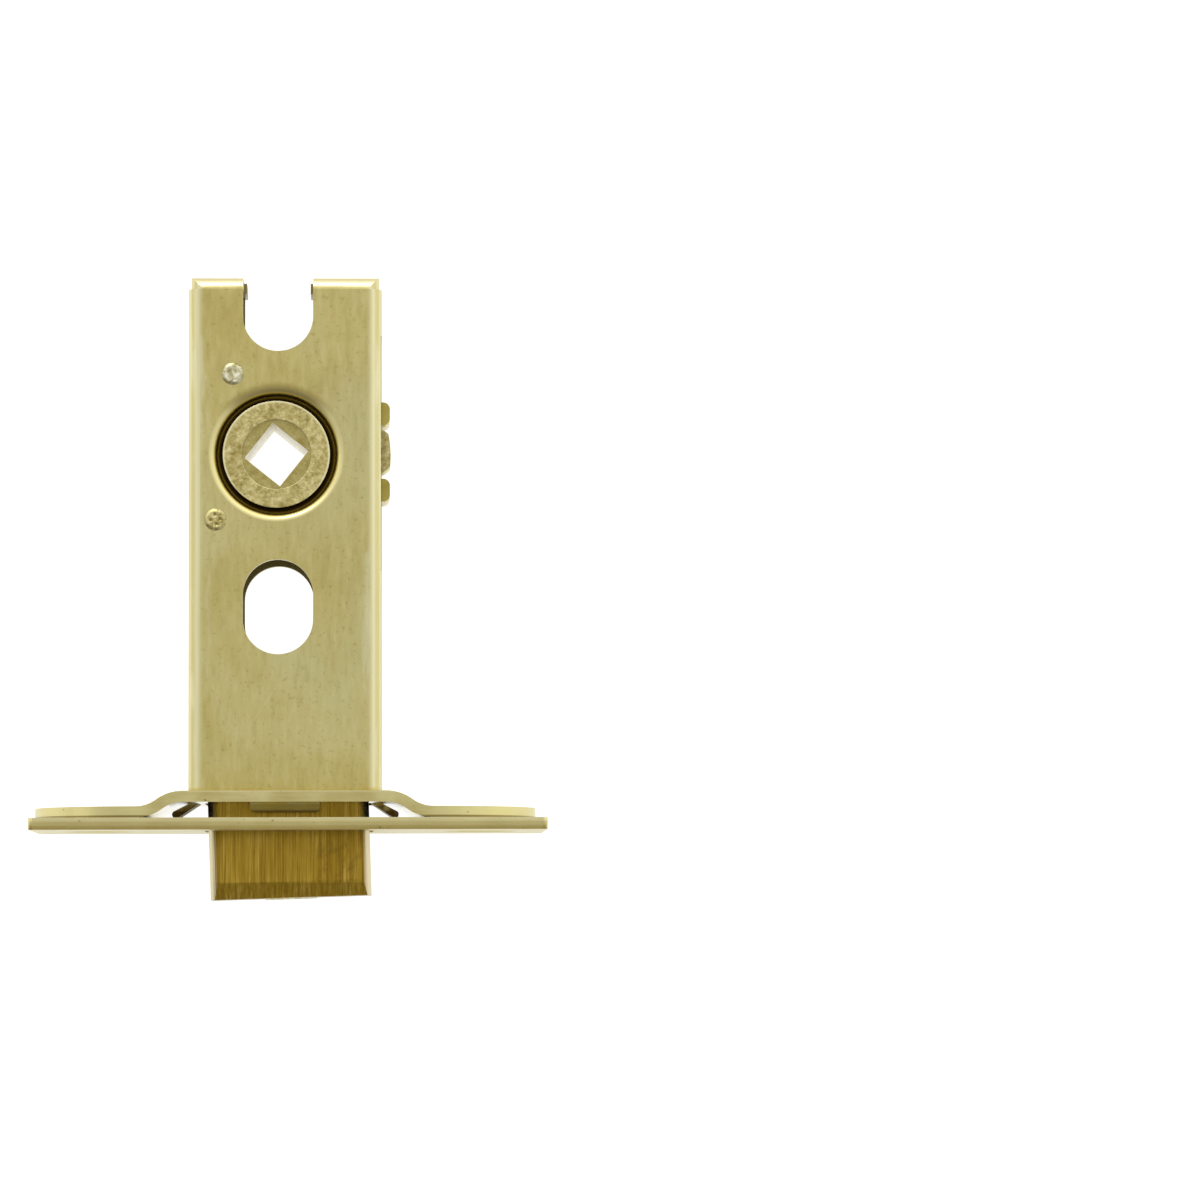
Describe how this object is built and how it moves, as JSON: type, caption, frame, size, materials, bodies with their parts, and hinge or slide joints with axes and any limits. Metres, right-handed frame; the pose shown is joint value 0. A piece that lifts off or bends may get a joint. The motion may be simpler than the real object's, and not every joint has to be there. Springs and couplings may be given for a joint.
{
  "type": "tubular bathroom deadbolt",
  "caption": "Tubular bathroom deadbolt: a folded steel case behind two forend plates, with a brass bolt thrown and withdrawn by a square-holed hub.",
  "frame": {"origin": "middle of the outer forend's face, midway between its two screw holes", "axes": "+X along the forend, +Y back into the door along the case, +Z along the spindle towards the cheek with the folded edges"},
  "size_m": [0.06, 0.0729, 0.025],
  "materials": {
    "case_steel": "zinc and yellow passivate, satin with a faint olive bloom",
    "forend_steel": "brassed steel, satin edges",
    "bolt_brass": "drawn brass, fine lengthwise lines",
    "tail_steel": "yellow passivated steel, smooth",
    "hub_zinc": "cast zinc alloy, plated, mottled",
    "spring_steel": "bright spring steel",
    "pin_steel": "peened steel"
  },
  "bodies": {
    "case": {"case_channel": "case_steel", "case_cover": "case_steel", "inner_forend": "forend_steel", "outer_forend": "forend_steel", "detent_spring": "spring_steel", "upper_pin": "pin_steel", "lower_pin": "pin_steel"},
    "bolt": {"bolt_head": "bolt_brass", "bolt_stud": "pin_steel", "bolt_tail": "tail_steel"},
    "hub": {"hub": "hub_zinc"}
  },
  "joints": [
    {"name": "bolt_throw", "type": "slide", "parent": "case", "child": "bolt", "axis": [0, -1, 0], "range_m": [-0.0073, 0.008]},
    {"name": "hub_turn", "type": "hinge", "parent": "case", "child": "hub", "pos_m": [-0.0015, 0.044, 0], "axis": [0, 0, 1], "range_deg": [-44.4, 40.6]}
  ],
  "couplings": [
    {"joint": "hub_turn", "follows": "bolt_throw", "rad_per_m": -95.5}
  ]
}
